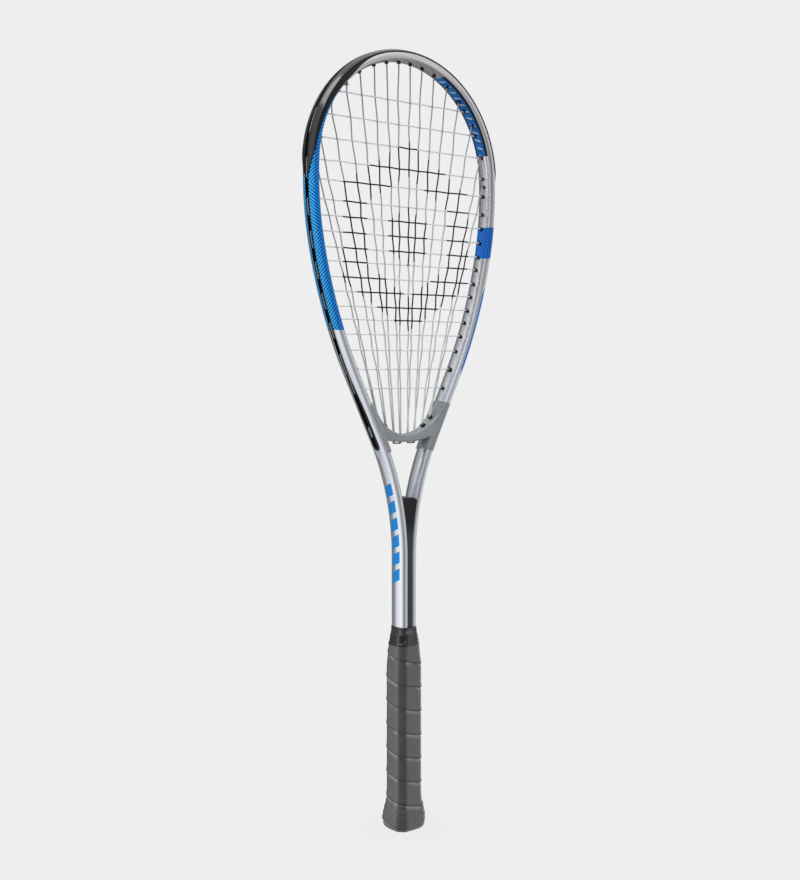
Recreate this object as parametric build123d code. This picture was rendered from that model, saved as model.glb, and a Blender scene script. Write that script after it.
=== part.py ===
"""A squash racket: a one-piece bent alloy tube, strung, with a wrapped handle.

Millimetres. The origin is the centre of the butt end, +Z runs up the handle to the
tip of the head, X is across the face and the string bed lies in the XZ plane.
"""
from build123d import *
from math import atan2, cos, degrees, hypot, radians, sin, tan
import os

# --- the whole racket
total_length = 686.0
fit_gap = 0.05                  # all round, where two pieces are pressed together

# --- the frame tube: an oval section bent along tangent arcs
tube_width = 9.5                # in the plane of the strings
tube_depth = 18.5               # across it
tube_wall = 1.3
tube_nose = 3.2                 # radius of the front and back of the oval
tip_radius = 100.0
tip_turn = 87.0                 # degrees, from the tip to the shoulder
shoulder_radius = 290.0
shoulder_turn = 13.0
flank_radius = 420.0
flank_turn = 16.5
throat_radius = 235.0
leg_x = 4.9                     # centre line of each leg in the shaft
leg_bottom = 12.0               # the legs end inside the handle

# --- the string channel round the outside of the tube
channel_width = 5.2
channel_depth = 2.2
channel_wall = 1.1
channel_flare_z = (405.0, 372.0)         # the channel widens between these heights
channel_end_z = 345.2                    # and keeps its full width down to its round end
channel_end_width = 9.0

# --- stringing
string_d = 1.25
mouth_bend = 1.25                # bend of a string round a grommet's mouth
knot_d = 2.6                     # where an end is tied off beside another string
knot_lean = 0.6
main_lane = -0.7                # main strings run a little in front of the middle plane,
cross_lane = 0.7                # cross strings a little behind it
main_top_x = (6.5, 20.0, 33.8, 49.2, 63.5, 79.5, 91.0)
side_main_z = 576.5             # the outermost main ends in the side of the head
cross_z = (642.0, 622.0, 602.5, 584.0, 568.0, 551.5, 538.5, 525.5, 512.5, 501.0,
           488.0, 476.0, 463.5, 452.5, 440.0, 426.5, 410.0, 393.5)
bridge_holes = ((4.2, 353.0), (11.8, 354.5))         # moulded in the bridge
long_barrels = (((20.8, 361.0), 351.5), ((30.0, 368.0), 359.5))   # tip and height of outer mouth
bridge_hole_d = 3.4

# --- grommets
barrel_d = 3.4
barrel_bore = 2.2
wide_barrel_d = 4.3             # barrels that hold two strings
wide_bore = 3.3
barrel_stands = 1.6             # how far a barrel stands out of the tube's inner face
strip_width = channel_width - 2 * fit_gap
strip_floor = 0.6
strip_trough = 3.4
guard_skin = 1.0                # thickness of the head guard over the tube
guard_front = 8.2               # half of its width over the tube's face
guard_end_z = 571.0
guard_taper_z = 590.0
guard_end_front = 3.2

# --- throat
bridge_radius = 42.5            # inner curve, the bottom of the head
bridge_top = 353.1
bridge_thick = 7.0
bridge_under_radius = 111.0
bridge_depth = 11.0
bridge_round = 2.4
wing_top_z = 379.0
wing_bottom_z = 338.0
wing_skin = 1.3
wedge_top = 297.0
wedge_depth = 17.0
wedge_bottom = 150.0

# --- handle: (height, half width in X, half depth in Y, bevel) of the finished outside
grip_skin = 1.8
tape_skin = 0.4
handle_bottom = 6.0
handle_top = 176.5
grip_bottom = 2.5
grip_top = 168.0
tape_bottom = 166.0
tape_top = 182.4
outside = ((0.0, 15.0, 13.7, 6.2), (2.5, 16.5, 15.2, 6.6), (6.0, 17.2, 15.9, 6.8),
           (12.0, 17.3, 16.0, 6.8), (18.0, 16.4, 15.1, 6.5), (23.0, 15.1, 13.9, 6.0),
           (28.0, 14.2, 13.1, 5.6), (34.0, 14.0, 12.9, 5.5), (147.0, 14.0, 12.9, 5.5),
           (168.0, 12.3, 11.5, 5.2), (176.5, 11.4, 10.6, 5.0))
cap_top = 28.0
staple_wire = 0.9
staple_crown = 9.0
staple_leg = 2.0
staple_z = 21.0
badge_d = 15.0

half_width = tube_width / 2
half_depth = tube_depth / 2
tip_z = total_length - guard_skin - half_width


# ---------------------------------------------------------------- the tube's centre line
def lay_out_path():
    """The right half of the centre line, from the tip down, as tangent stretches.

    Each stretch is (start length, length, x, z, heading, radius); the radius is positive
    where the tube bends inwards, negative where it bends back and None where it is straight.
    """
    turned = tip_turn + shoulder_turn + flank_turn
    back_turn = turned - 90.0
    x, z, heading, run = 0.0, tip_z, 0.0, 0.0
    stretches = []

    def add(length, radius):
        nonlocal x, z, heading, run
        stretches.append((run, length, x, z, heading, radius))
        x, z, heading = walk(stretches[-1], length)
        run += length

    for radius, turn in ((tip_radius, tip_turn), (shoulder_radius, shoulder_turn),
                         (flank_radius, flank_turn)):
        add(radius * radians(turn), radius)
    throat_shift = throat_radius * (1 - cos(radians(back_turn)))
    add((x - leg_x - throat_shift) / sin(radians(back_turn)), None)
    add(throat_radius * radians(back_turn), -throat_radius)
    add(z - leg_bottom, None)
    return stretches


def walk(stretch, distance):
    """Position and heading (radians, 0 along +X) this far along a stretch."""
    start, length, x, z, heading, radius = stretch
    if radius is None:
        return x + distance * cos(heading), z + distance * sin(heading), heading
    turned = heading - distance / radius
    centre_x = x + radius * sin(heading)
    centre_z = z - radius * cos(heading)
    return centre_x - radius * sin(turned), centre_z + radius * cos(turned), turned


path = lay_out_path()
path_end = path[-1][0] + path[-1][1]


def at(s):
    """Position and heading at a length s from the tip."""
    for stretch in path:
        if s <= stretch[0] + stretch[1]:
            return walk(stretch, s - stretch[0])
    return walk(path[-1], s - path[-1][0])


def point(s, out, y=0.0):
    """The point that lies `out` outside the centre line at the length s."""
    x, z, heading = at(s)
    return (x - out * sin(heading), y, z + out * cos(heading))


def find(measure, target, low=0.0, high=path_end):
    """The length s at which a falling or rising measure reaches its target."""
    rising = measure(high) > measure(low)
    for _ in range(60):
        middle = (low + high) / 2
        if (measure(middle) < target) == rising:
            low = middle
        else:
            high = middle
    return (low + high) / 2


def section_plane(s):
    """A plane across the tube: its x axis points outwards, its normal along the tube."""
    x, z, heading = at(s)
    return Plane(origin=(x, 0, z), x_dir=(-sin(heading), 0, cos(heading)),
                 z_dir=(cos(heading), 0, sin(heading)))


def along(profile, s0, s1):
    """Carry a profile along the right half of the tube's centre line from s0 to s1."""
    pieces = []
    for start, length, x, z, heading, radius in path:
        a, b = max(s0, start), min(s1, start + length)
        if b - a < 1e-6:
            continue
        face = section_plane(a) * profile
        if radius is None:
            pieces.append(extrude(face, amount=b - a))
            continue
        centre = (x + radius * sin(heading), 0, z - radius * cos(heading))
        spin = 1 if radius > 0 else -1
        pieces.append(revolve(face, axis=Axis(centre, (0, spin, 0)),
                              revolution_arc=degrees((b - a) / abs(radius))))
    return Part() + pieces


def both_sides(part):
    return part + mirror(part, about=Plane.YZ)


def oval(extra=0.0):
    """The tube's section, made larger all round by `extra`."""
    a, b, nose = half_width + extra, half_depth + extra, tube_nose + extra
    side = (a * a + (b - nose) ** 2 - nose * nose) / (2 * (a - nose))
    reach = hypot(side - a, b - nose)
    tx = nose * (side - a) / reach
    ty = b - nose + nose * (b - nose) / reach
    edges = [ThreePointArc((tx, -ty), (a, 0), (tx, ty)),
             ThreePointArc((tx, ty), (0, b), (-tx, ty)),
             ThreePointArc((-tx, ty), (-a, 0), (-tx, -ty)),
             ThreePointArc((-tx, -ty), (0, -b), (tx, -ty))]
    return make_face(edges)


def block(u0, u1, w):
    """A rectangle in the tube's section, from u0 to u1 outwards and w wide."""
    return Pos((u0 + u1) / 2, 0) * Rectangle(u1 - u0, w)


def peg(start, end, diameter):
    """A cylinder between two points."""
    axis = Vector(*end) - Vector(*start)
    return extrude(Plane(origin=start, z_dir=axis) * Circle(diameter / 2), amount=axis.length)


# ---------------------------------------------------------------- where the holes are
inner_tip = -(half_width + barrel_stands)
trough_floor = half_width - channel_depth + strip_floor
string_out = trough_floor + string_d / 2

s_channel_end = find(lambda s: at(s)[1], channel_end_z)
s_flare, s_flared = [find(lambda s: at(s)[1], z) for z in channel_flare_z]
s_guard_end = find(lambda s: at(s)[1], guard_end_z)
s_guard_taper = find(lambda s: at(s)[1], guard_taper_z)
s_main = [find(lambda s: point(s, inner_tip)[0], x, 0, tip_radius * radians(tip_turn))
          for x in main_top_x]
s_main.append(find(lambda s: point(s, inner_tip)[2], side_main_z))
s_cross = [find(lambda s: point(s, inner_tip)[2], z) for z in cross_z]
tie_off_main = 4                # the cross string's top end is tied beside the fifth main,
tie_off_cross = 2               # the main string's ends beside the third cross,
tie_off_bottom = 16             # and the cross string's lower end beside the seventeenth


def long_barrel_ends(hole):
    """Inner tip and outer mouth of a barrel that runs through the bridge and the leg."""
    (x, z), mouth_z = long_barrels[hole]
    s = find(lambda s: point(s, string_out)[2], mouth_z)
    mouth = point(s, string_out)
    return (x, 0.0, z), mouth, s


def barrel_list():
    """Every straight barrel of one side: (length s, y, outside diameter, bore)."""
    barrels = []
    for i, s in enumerate(s_main):
        wide = i == tie_off_main
        barrels.append((s, 0.0 if wide else main_lane, *barrel_size(wide)))
    for i, s in enumerate(s_cross):
        wide = i in (tie_off_cross, tie_off_bottom)
        barrels.append((s, 0.0 if wide else cross_lane, *barrel_size(wide)))
    return barrels


def barrel_size(wide):
    return (wide_barrel_d, wide_bore) if wide else (barrel_d, barrel_bore)


def through(s, y, diameter, inner, outer):
    """A cylinder across the tube at the length s."""
    return peg(point(s, inner, y), point(s, outer, y), diameter)


def through_long(hole, diameter, beyond_tip=0.0, beyond_mouth=0.0):
    tip, mouth, _ = long_barrel_ends(hole)
    axis = (Vector(*mouth) - Vector(*tip)).normalized()
    start = Vector(*tip) - axis * beyond_tip
    end = Vector(*mouth) + axis * beyond_mouth
    return peg(tuple(start), tuple(end), diameter)


def channel_shape(start, u0, u1, inset):
    """The channel's shape between two depths, `inset` inside its walls, with its flared end."""
    even, wide = channel_width - 2 * inset, channel_end_width - 2 * inset
    shape = along(block(u0, u1, even), start, s_flare)
    shape += loft([section_plane(s_flare) * block(u0, u1, even),
                   section_plane(s_flared) * block(u0, u1, wide)], ruled=True)
    shape += along(block(u0, u1, wide), s_flared, s_channel_end)
    return shape + through(s_channel_end, 0, wide, u0, u1)


# ---------------------------------------------------------------- frame
def make_frame_tube():
    """The tube with its channel pressed in and every string hole drilled."""
    bed = channel_shape(0, half_width - channel_depth - channel_wall, half_width - 0.5, -channel_wall)
    hollow = both_sides(along(oval(-tube_wall), 0, path_end)) - both_sides(bed)
    tube = both_sides(along(oval(), 0, path_end)) - hollow
    tube -= both_sides(channel_shape(0, half_width - channel_depth, half_width + 1, 0))
    for s, y, diameter, _ in barrel_list():
        tube -= both_sides(through(s, y, diameter + 2 * fit_gap, -half_width - 1, half_width))
    for hole in range(2):
        tube -= both_sides(through_long(hole, wide_barrel_d + 2 * fit_gap, beyond_mouth=2))
    return tube


def tube_envelope(s0, s1, extra):
    return both_sides(along(oval(extra), s0, s1))


def lying_disc(radius, z):
    """A thick disc on a Y axis, centred at the height z."""
    return Pos(0, 0, z) * Rot(90, 0, 0) * Cylinder(radius, tube_depth + 2)


def make_bridge():
    """The moulded yoke that closes the head, with a saddle along each leg."""
    wide, high = 60.0, 60.0
    under_z = bridge_top - bridge_thick
    body = Pos(0, 0, under_z + high / 2) * Box(2 * wide, tube_depth, high)
    body &= lying_disc(bridge_under_radius, under_z + bridge_under_radius)
    body -= lying_disc(bridge_radius, bridge_top + bridge_radius)
    s_top = find(lambda s: at(s)[1], wing_top_z)
    s_bottom = find(lambda s: at(s)[1], wing_bottom_z)
    between = Polyline((0, 0, under_z - 12), point(s_bottom, 0), point(s_top, 0),
                       (0, 0, wing_top_z + 12), close=True)
    body &= both_sides(extrude(make_face(between), amount=tube_depth, both=True))
    top_cut = section_plane(s_top) * Pos(0, 0, -20) * Box(60, 60, 40)
    body -= both_sides(top_cut)
    waist = ThreePointArc((-wide, -half_depth - 6), (0, -bridge_depth / 2), (wide, -half_depth - 6))
    plan = make_face([waist, Line(waist @ 1, (wide, half_depth + 6)),
                      mirror(waist, about=Plane.XZ),
                      Line((-wide, half_depth + 6), waist @ 0)])
    body &= Pos(0, 0, 300) * extrude(plan, amount=120)
    saddle = block(-half_width - wing_skin, 0.6, tube_depth + 2 * wing_skin)
    wings = both_sides(along(oval(wing_skin) & saddle, s_top, s_bottom))
    bridge = body + wings
    bridge -= tube_envelope(s_top - 5, s_bottom + 5, fit_gap)
    for side in (-1, 1):
        for x, z in bridge_holes:
            bridge -= peg((side * x, 0, z - 20), (side * x, 0, z + 4), bridge_hole_d)
    bridge -= both_sides(through_long(0, wide_barrel_d + 2 * fit_gap, 2)
                         + through_long(1, wide_barrel_d + 2 * fit_gap, 2))
    across = [edge for edge in bridge.edges() if edge.length > 20
              and abs(edge.center().X) < 1 and abs(edge.center().Y) > 3]
    above = [edge for edge in across if edge.center().Z > bridge_top - 1]
    bridge = fillet(above, bridge_round)
    across = [edge for edge in bridge.edges() if edge.length > 20
              and abs(edge.center().X) < 1 and abs(edge.center().Y) > 3]
    return fillet([edge for edge in across if edge.center().Z < under_z + 1], bridge_round)


def make_wedge():
    """The plastic wedge in the crotch of the legs, with a strip down each face of the shaft."""
    s_top = find(lambda s: at(s)[1], wedge_top - 4)
    half_top = point(s_top, 0)[0]
    outline = Polyline((-5, 0, wedge_top), (5, 0, wedge_top), (half_top, 0, wedge_top - 4.5),
                       (3.2, 0, 245), (3.2, 0, wedge_bottom), (-3.2, 0, wedge_bottom),
                       (-3.2, 0, 245), (-half_top, 0, wedge_top - 4.5), close=True)
    wedge = extrude(make_face(outline), amount=wedge_depth / 2, both=True)
    wedge -= tube_envelope(s_top - 20, path_end, fit_gap)
    slot_top = 262.0
    wedge -= Pos(0, 0, (slot_top + wedge_bottom) / 2 - 1) * Box(
        20, 12.4, slot_top - wedge_bottom + 2)
    return wedge


# ---------------------------------------------------------------- grommets
def trough_profile(top):
    """A strip with a trough for the strings, its walls standing up to `top`."""
    bottom = half_width - channel_depth + fit_gap
    return block(bottom, top, strip_width) - block(trough_floor, top + 2, strip_trough)


def barrels_of(chosen):
    """The barrels' outsides and their bores."""
    outsides = [through(s, y, diameter, inner_tip, trough_floor - 0.1)
                for s, y, diameter, _ in chosen]
    bores = [through(s, y, bore, inner_tip - 1, half_width + 2) for s, y, _, bore in chosen]
    return outsides, bores


def make_strip():
    """One side's grommet strip, with the two long barrels through the leg and the bridge."""
    start = s_guard_end + 0.2
    strip = channel_shape(start, half_width - channel_depth + fit_gap, half_width - 0.35, fit_gap)
    strip &= along(oval(-0.15), start, s_channel_end + channel_end_width)
    strip -= along(block(trough_floor, half_width + 2, strip_trough), start, s_channel_end)
    strip -= through(s_channel_end, 0, strip_trough, trough_floor, half_width + 2)
    outsides, bores = barrels_of([b for b in barrel_list() if b[0] > s_guard_end])
    for hole in range(2):
        outsides.append(through_long(hole, wide_barrel_d, beyond_mouth=-string_d / 2 - 0.1))
        bores.append(through_long(hole, wide_bore, 1, 3))
    return strip + outsides - bores


def make_guard():
    """The head guard: a skin over the outside of the tip with its own trough and barrels."""
    skin = oval(guard_skin) - oval(fit_gap)
    front_u = 2.3
    skin &= block(front_u, half_width + guard_skin, tube_depth)
    skin += trough_profile(half_width + 0.2)
    skin -= block(trough_floor, half_width + 3, strip_trough)
    guard = both_sides(along(skin, 0, s_guard_end))
    slope = degrees(atan2(guard_front - guard_end_front, s_guard_end - s_guard_taper))
    for side in (-1, 1):
        cutter = Rot(side * slope, 0, 0) * Pos(0, side * 10, 0) * Box(40, 20, 120)
        cutter = section_plane(s_guard_end) * Pos(0, side * guard_end_front, 0) * cutter
        guard -= both_sides(cutter)
    outsides, bores = barrels_of([b for b in barrel_list() if b[0] <= s_guard_end])
    for outside_part in outsides:
        guard += both_sides(outside_part)
    for bore in bores:
        guard -= both_sides(bore)
    return guard


# ---------------------------------------------------------------- strings
def channel_run(s0, s1, y0, y1):
    """Points of a string that lies in the channel between two holes, both ends included."""
    steps = max(1, round(abs(s1 - s0) / 9))
    return [point(s0 + (s1 - s0) * k / steps, string_out, y0 + (y1 - y0) * k / steps)
            for k in range(steps + 1)]


def flip(points, side):
    return [(side * x, y, z) for x, y, z in points]


def main_run(index):
    """One main string of the right side, from below the bridge up to its top hole."""
    odd = index % 2 == 0
    low_y = main_lane if odd else cross_lane
    top = [point(s_main[index], inner_tip, main_lane), point(s_main[index], string_out, main_lane)]
    hole = index // 2
    if hole < 2:
        x, z = bridge_holes[hole]
        mouth = bridge_top - bridge_thick - 1.0
        low = [(x, low_y, mouth), (x, low_y, z + 0.5)]
    else:
        tip, mouth, _ = long_barrel_ends(hole - 2)
        low = [(mouth[0], low_y, mouth[2]), (tip[0], low_y, tip[2])]
    if odd:
        return low + top
    foot, head = Vector(*low[-1]), Vector(*top[0])
    share_low, share_high = 0.34 * (393 - foot.Z) / 40, (387.0 - foot.Z) / (head.Z - foot.Z)
    leave = foot + (head - foot) * share_high
    enter = foot + (head - foot) * (share_high * (0.6 - share_low))
    return low + [(enter.X, low_y, enter.Z), (leave.X, main_lane, leave.Z)] + top


def bridge_mouths(hole_a, hole_b, y):
    """The stretch between two holes: under the bridge, or in the channel outside the leg."""
    if hole_a >= 2:
        s_a, s_b = long_barrel_ends(hole_a - 2)[2], long_barrel_ends(hole_b - 2)[2]
        return channel_run(s_a, s_b, y, y)[1:-1]
    return []


def main_half():
    """The right half of the main string, from the tip to the tie-off in the side of the head."""
    half = []
    order = (0, 2, 1, 3, 4, 6, 5, 7)
    for step, index in enumerate(order):
        run = main_run(index)
        going_down = step % 2 == 0
        half += reversed(run) if going_down else run
        if step == len(order) - 1:
            break
        following = order[step + 1]
        if going_down:
            low_y = main_lane if index % 2 == 0 else cross_lane
            half += bridge_mouths(index // 2, following // 2, low_y)
        else:
            half += channel_run(s_main[index], s_main[following], main_lane, main_lane)[1:-1]
    tie = s_cross[tie_off_cross]
    half += channel_run(s_main[7], tie, main_lane, main_lane)[1:]
    half += [point(tie, inner_tip - 1.2, main_lane)]
    crown = channel_run(0, s_main[0], main_lane, main_lane)[1:-1]
    middle = tip_z + string_out
    return [(0, main_lane, middle), (2, main_lane, middle)] + crown + half


def cross_route():
    """The whole cross string, from its tie-off at the top left to the one at the lower left."""
    start = channel_run(s_main[tie_off_main], s_cross[0], cross_lane, cross_lane)
    route = flip([point(s_main[tie_off_main], inner_tip - 1.2, cross_lane)] + start[:-1], -1)
    for k, s in enumerate(s_cross):
        side = -1 if k % 2 == 0 else 1
        ends = [point(s, string_out, cross_lane), point(s, inner_tip, cross_lane)]
        route += flip(ends, side) + flip(reversed(ends), -side)
        if k + 1 < len(s_cross):
            route += flip(channel_run(s, s_cross[k + 1], cross_lane, cross_lane)[1:-1], -side)
    last, tie = s_cross[-1], s_cross[tie_off_bottom]
    route += flip(channel_run(last, tie, cross_lane, main_lane)[1:], -1)
    return route + flip([point(tie, inner_tip - 1.2, main_lane)], -1)


def bend_radii(route):
    """A tight bend round each grommet's mouth, and elsewhere as large as the runs allow."""
    radii = []
    for before, here, after in zip(route, route[1:], route[2:]):
        arrive, leave = Vector(*here) - Vector(*before), Vector(*after) - Vector(*here)
        turn = arrive.get_angle(leave)
        run = min(arrive.length, leave.length, 6.0)
        radii.append(mouth_bend if turn > 60 else min(60.0, 0.45 * run / tan(radians(turn / 2))))
    return radii


def without_straights(route):
    """Drop a point that lies in line with its neighbours."""
    kept = [route[0]]
    for here, after in zip(route[1:], route[2:]):
        arrive, leave = Vector(*here) - Vector(*kept[-1]), Vector(*after) - Vector(*here)
        if arrive.get_angle(leave) > 0.05:
            kept.append(here)
    return kept + [route[-1]]


def lay_string(route):
    """A string along its route, and its length."""
    route = without_straights(route)
    line = FilletPolyline(*route, radius=bend_radii(route))
    return sweep(Plane(origin=line @ 0, z_dir=line % 0) * Circle(string_d / 2), path=line), line.length


def knot(end, before):
    """The lump an end is tied off in, clear of the string beside it."""
    lean = 1 if end[1] > 0 else -1
    centre = Vector(end[0], end[1] + lean * knot_lean, end[2])
    ahead = Vector(*end) - Vector(*before)
    return Plane(origin=centre, x_dir=ahead, z_dir=(0, 1, 0)) * Cylinder(knot_d / 2, knot_d)


def make_main_string():
    route = main_half()
    string, length = lay_string(route)
    print("main string", round(2 * length))
    return both_sides(string + knot(route[-1], route[-2]))


def make_cross_string():
    route = cross_route()
    string, length = lay_string(route)
    print("cross string", round(length))
    return string + knot(route[0], route[1]) + knot(route[-1], route[-2])


# ---------------------------------------------------------------- handle
def octagon(a, b, bevel, z):
    """A rounded octagon, the section of the handle."""
    shape = Polyline((a, b - bevel), (a - bevel, b), (bevel - a, b), (-a, b - bevel),
                     (-a, bevel - b), (bevel - a, -b), (a - bevel, -b), (a, bevel - b),
                     close=True)
    face = make_face(shape)
    return Pos(0, 0, z) * fillet(face.vertices(), 3.0)


def outside_at(z):
    """Half width, half depth and bevel of the finished handle at a height."""
    for low, high in zip(outside, outside[1:]):
        if z <= high[0]:
            break
    share = (z - low[0]) / (high[0] - low[0])
    return [p + (q - p) * share for p, q in zip(low[1:], high[1:])]


def handle_body(z0, z1, inset):
    """The handle's shape between two heights, `inset` below its finished outside."""
    heights = [z0] + [row[0] for row in outside if z0 < row[0] < z1] + [z1]
    faces = []
    for z in heights:
        a, b, bevel = outside_at(z)
        faces.append(octagon(a - inset, b - inset, bevel - 0.586 * inset, z))
    body = Part()
    for low, high in zip(faces, faces[1:]):
        body += loft([low, high], ruled=True)
    return body


def shaft_envelope(z0, z1, extra):
    """Both legs of the shaft between two heights, as one solid filled between them."""
    legs = Pos(leg_x, 0) * oval(extra) + Pos(-leg_x, 0) * oval(extra)
    return Pos(0, 0, z0) * extrude(legs + Rectangle(2 * leg_x, wedge_depth), amount=z1 - z0)


def make_handle_shells():
    skin = grip_skin
    body = handle_body(34.0, 147.0, skin)
    a, b, bevel = outside_at(40.0)
    foot = octagon(a - skin, b - skin, bevel - 0.586 * skin, handle_bottom)
    body += extrude(foot, amount=34.0 - handle_bottom)
    body += handle_body(147.0, grip_top, skin)
    neck_a, neck_b, neck_bevel = outside_at(handle_top)
    low_a, low_b, low_bevel = outside_at(grip_top)
    body += loft([octagon(low_a - skin, low_b - skin, low_bevel - 0.586 * skin, grip_top),
                  octagon(neck_a - tape_skin, neck_b - tape_skin, neck_bevel - 0.2, handle_top)],
                 ruled=True)
    body -= shaft_envelope(leg_bottom - 0.1, handle_top + 1, fit_gap)
    front = body & Pos(0, -50 - fit_gap, 100) * Box(100, 100, 400)
    back = body & Pos(0, 50 + fit_gap, 100) * Box(100, 100, 400)
    return front, back


def make_butt_cap():
    cap = handle_body(0.0, cap_top, grip_skin)
    a, b, bevel = outside_at(40.0)
    skin = grip_skin - fit_gap
    pocket = octagon(a - skin, b - skin, bevel - 0.586 * skin, handle_bottom - fit_gap)
    cap -= extrude(pocket, amount=cap_top)
    return cap - Cylinder(badge_d / 2 + fit_gap, 0.8, align=(Align.CENTER, Align.CENTER, Align.MIN))


def make_badge():
    return Cylinder(badge_d / 2, 0.7, align=(Align.CENTER, Align.CENTER, Align.MIN))


def make_grip():
    """The grip strip as wound: a sleeve over the butt cap and the handle shells."""
    sleeve = handle_body(grip_bottom, grip_top, 0)
    core = handle_body(0.0, cap_top, grip_skin - fit_gap)
    core += handle_body(cap_top, grip_top + 0.001, grip_skin - fit_gap)
    return sleeve - core


def make_finishing_tape():
    """A band of tape over the top edge of the grip, the neck of the handle and the shaft."""
    band = handle_body(tape_bottom, grip_top, -tape_skin)
    a, b, bevel = outside_at(grip_top)
    c, d, bevel_top = outside_at(handle_top)
    band += loft([octagon(a + tape_skin, b + tape_skin, bevel + 0.2, grip_top),
                  octagon(c, d, bevel_top, handle_top + 0.6)], ruled=True)
    band += shaft_envelope(handle_top + 0.6, tape_top, tape_skin + fit_gap)
    band -= handle_body(0.0, grip_top, -fit_gap)
    band -= loft([octagon(a - grip_skin + fit_gap, b - grip_skin + fit_gap,
                          bevel - 0.586 * grip_skin, grip_top - 0.01),
                  octagon(c - tape_skin + fit_gap, d - tape_skin + fit_gap,
                          bevel_top - 0.2, handle_top + fit_gap)], ruled=True)
    return band - shaft_envelope(grip_top, tape_top + 1, fit_gap)


def make_staple(face, side):
    """A wire staple driven through the cap into a handle shell, its crown lying along X."""
    staple = Pos(0, face, staple_z) * Box(staple_crown, staple_wire, staple_wire)
    for x in (-1, 1):
        staple += Pos(x * (staple_crown - staple_wire) / 2, face - side * staple_leg / 2,
                      staple_z) * Box(staple_wire, staple_leg, staple_wire)
    return staple


# ---------------------------------------------------------------- build and write
os.makedirs("parts", exist_ok=True)
shell_front, shell_back = make_handle_shells()
cap = make_butt_cap()
face_y = outside_at(23.0)[1] - grip_skin - staple_wire / 2 - fit_gap
cap_staples = Part() + [make_staple(face_y, 1), make_staple(-face_y, -1)]
cap -= cap_staples
shell_front -= cap_staples
shell_back -= cap_staples
strip = make_strip()

nodes = {
    "frame_tube": make_frame_tube(),
    "throat_bridge": make_bridge(),
    "throat_wedge": make_wedge(),
    "head_guard": make_guard(),
    "grommet_strip_right": strip,
    "grommet_strip_left": mirror(strip, about=Plane.YZ),
    "main_string": make_main_string(),
    "cross_string": make_cross_string(),
    "handle_shell_front": shell_front,
    "handle_shell_back": shell_back,
    "butt_cap": cap,
    "butt_cap_staples": cap_staples,
    "end_badge": make_badge(),
    "grip_wrap": make_grip(),
    "finishing_tape": make_finishing_tape(),
}
for name, shape in nodes.items():
    shape.label = name
    export_step(shape, "parts/" + name + ".step")
    box = shape.bounding_box()
    print(name, "solids", len(shape.solids()), "valid", shape.is_valid,
          "z", round(box.min.Z, 2), round(box.max.Z, 2), "x", round(box.max.X, 2))
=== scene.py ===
"""A squash racket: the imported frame, dressed with its paint, woven strings and wrapped grip."""
import math
import random
from functools import reduce

import bmesh
import bpy
import numpy as np
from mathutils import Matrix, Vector


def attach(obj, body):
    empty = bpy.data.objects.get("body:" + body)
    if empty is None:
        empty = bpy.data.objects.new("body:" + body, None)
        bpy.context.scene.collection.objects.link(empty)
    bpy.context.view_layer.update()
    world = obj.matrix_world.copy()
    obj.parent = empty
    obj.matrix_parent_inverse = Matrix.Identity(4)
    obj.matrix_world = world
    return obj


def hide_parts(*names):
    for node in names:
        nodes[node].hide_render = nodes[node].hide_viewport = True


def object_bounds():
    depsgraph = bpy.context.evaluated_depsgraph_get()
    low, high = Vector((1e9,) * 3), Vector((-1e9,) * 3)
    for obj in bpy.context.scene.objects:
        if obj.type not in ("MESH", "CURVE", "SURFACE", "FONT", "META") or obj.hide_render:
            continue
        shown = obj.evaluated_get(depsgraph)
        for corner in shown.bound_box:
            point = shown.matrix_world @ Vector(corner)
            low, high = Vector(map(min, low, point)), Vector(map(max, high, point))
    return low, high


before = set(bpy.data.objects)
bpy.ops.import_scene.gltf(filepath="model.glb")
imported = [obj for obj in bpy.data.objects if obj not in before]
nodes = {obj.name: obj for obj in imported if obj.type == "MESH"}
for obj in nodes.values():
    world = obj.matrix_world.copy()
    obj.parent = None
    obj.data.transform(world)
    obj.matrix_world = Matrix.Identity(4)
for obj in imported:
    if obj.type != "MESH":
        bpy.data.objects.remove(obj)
cad_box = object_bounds()
scene = bpy.context.scene

MM = 0.001

# -------------------- driving sizes, in millimetres
total_length = (cad_box[1].z - cad_box[0].z) / MM
tube_width, tube_depth = 9.5, 18.5
tube_nose = 3.2
channel_width, channel_depth = 5.2, 2.2
strip_floor, strip_trough = 0.6, 3.4
guard_skin = 1.0
dent_run, dent_half, dent_depth = 11.0, 2.6, 0.9
leg_x, leg_bottom = 4.9, 12.0
channel_flare_z, channel_end_z, channel_end_width = (405.0, 372.0), 345.2, 9.0
guard_end_z = 571.0
string_d = 1.25
main_lane, cross_lane = -0.7, 0.7
main_top_x = (6.5, 20.0, 33.8, 49.2, 63.5, 79.5, 91.0)
side_main_z = 576.5
cross_z = (642.0, 622.0, 602.5, 584.0, 568.0, 551.5, 538.5, 525.5, 512.5, 501.0,
           488.0, 476.0, 463.5, 452.5, 440.0, 426.5, 410.0, 393.5)
bridge_holes = ((4.2, 353.0), (11.8, 354.5))
long_barrels = (((20.8, 361.0), 351.5), ((30.0, 368.0), 359.5))
bridge_under_z = 346.1
barrel_stands = 1.6
barrel, wide_barrel = (1.7, 1.1), (2.15, 1.65)  # outer and inner radius
tie_off_main, tie_off_cross, tie_off_bottom = 4, 2, 16
guard_front, guard_taper_z, guard_end_front = 8.2, 590.0, 3.2
grip_bottom, grip_top = 2.5, 168.0
tape_bottom, tape_top, tape_skin = 166.0, 182.4, 0.4
handle_top, handle_corner = 176.5, 3.6
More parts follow.
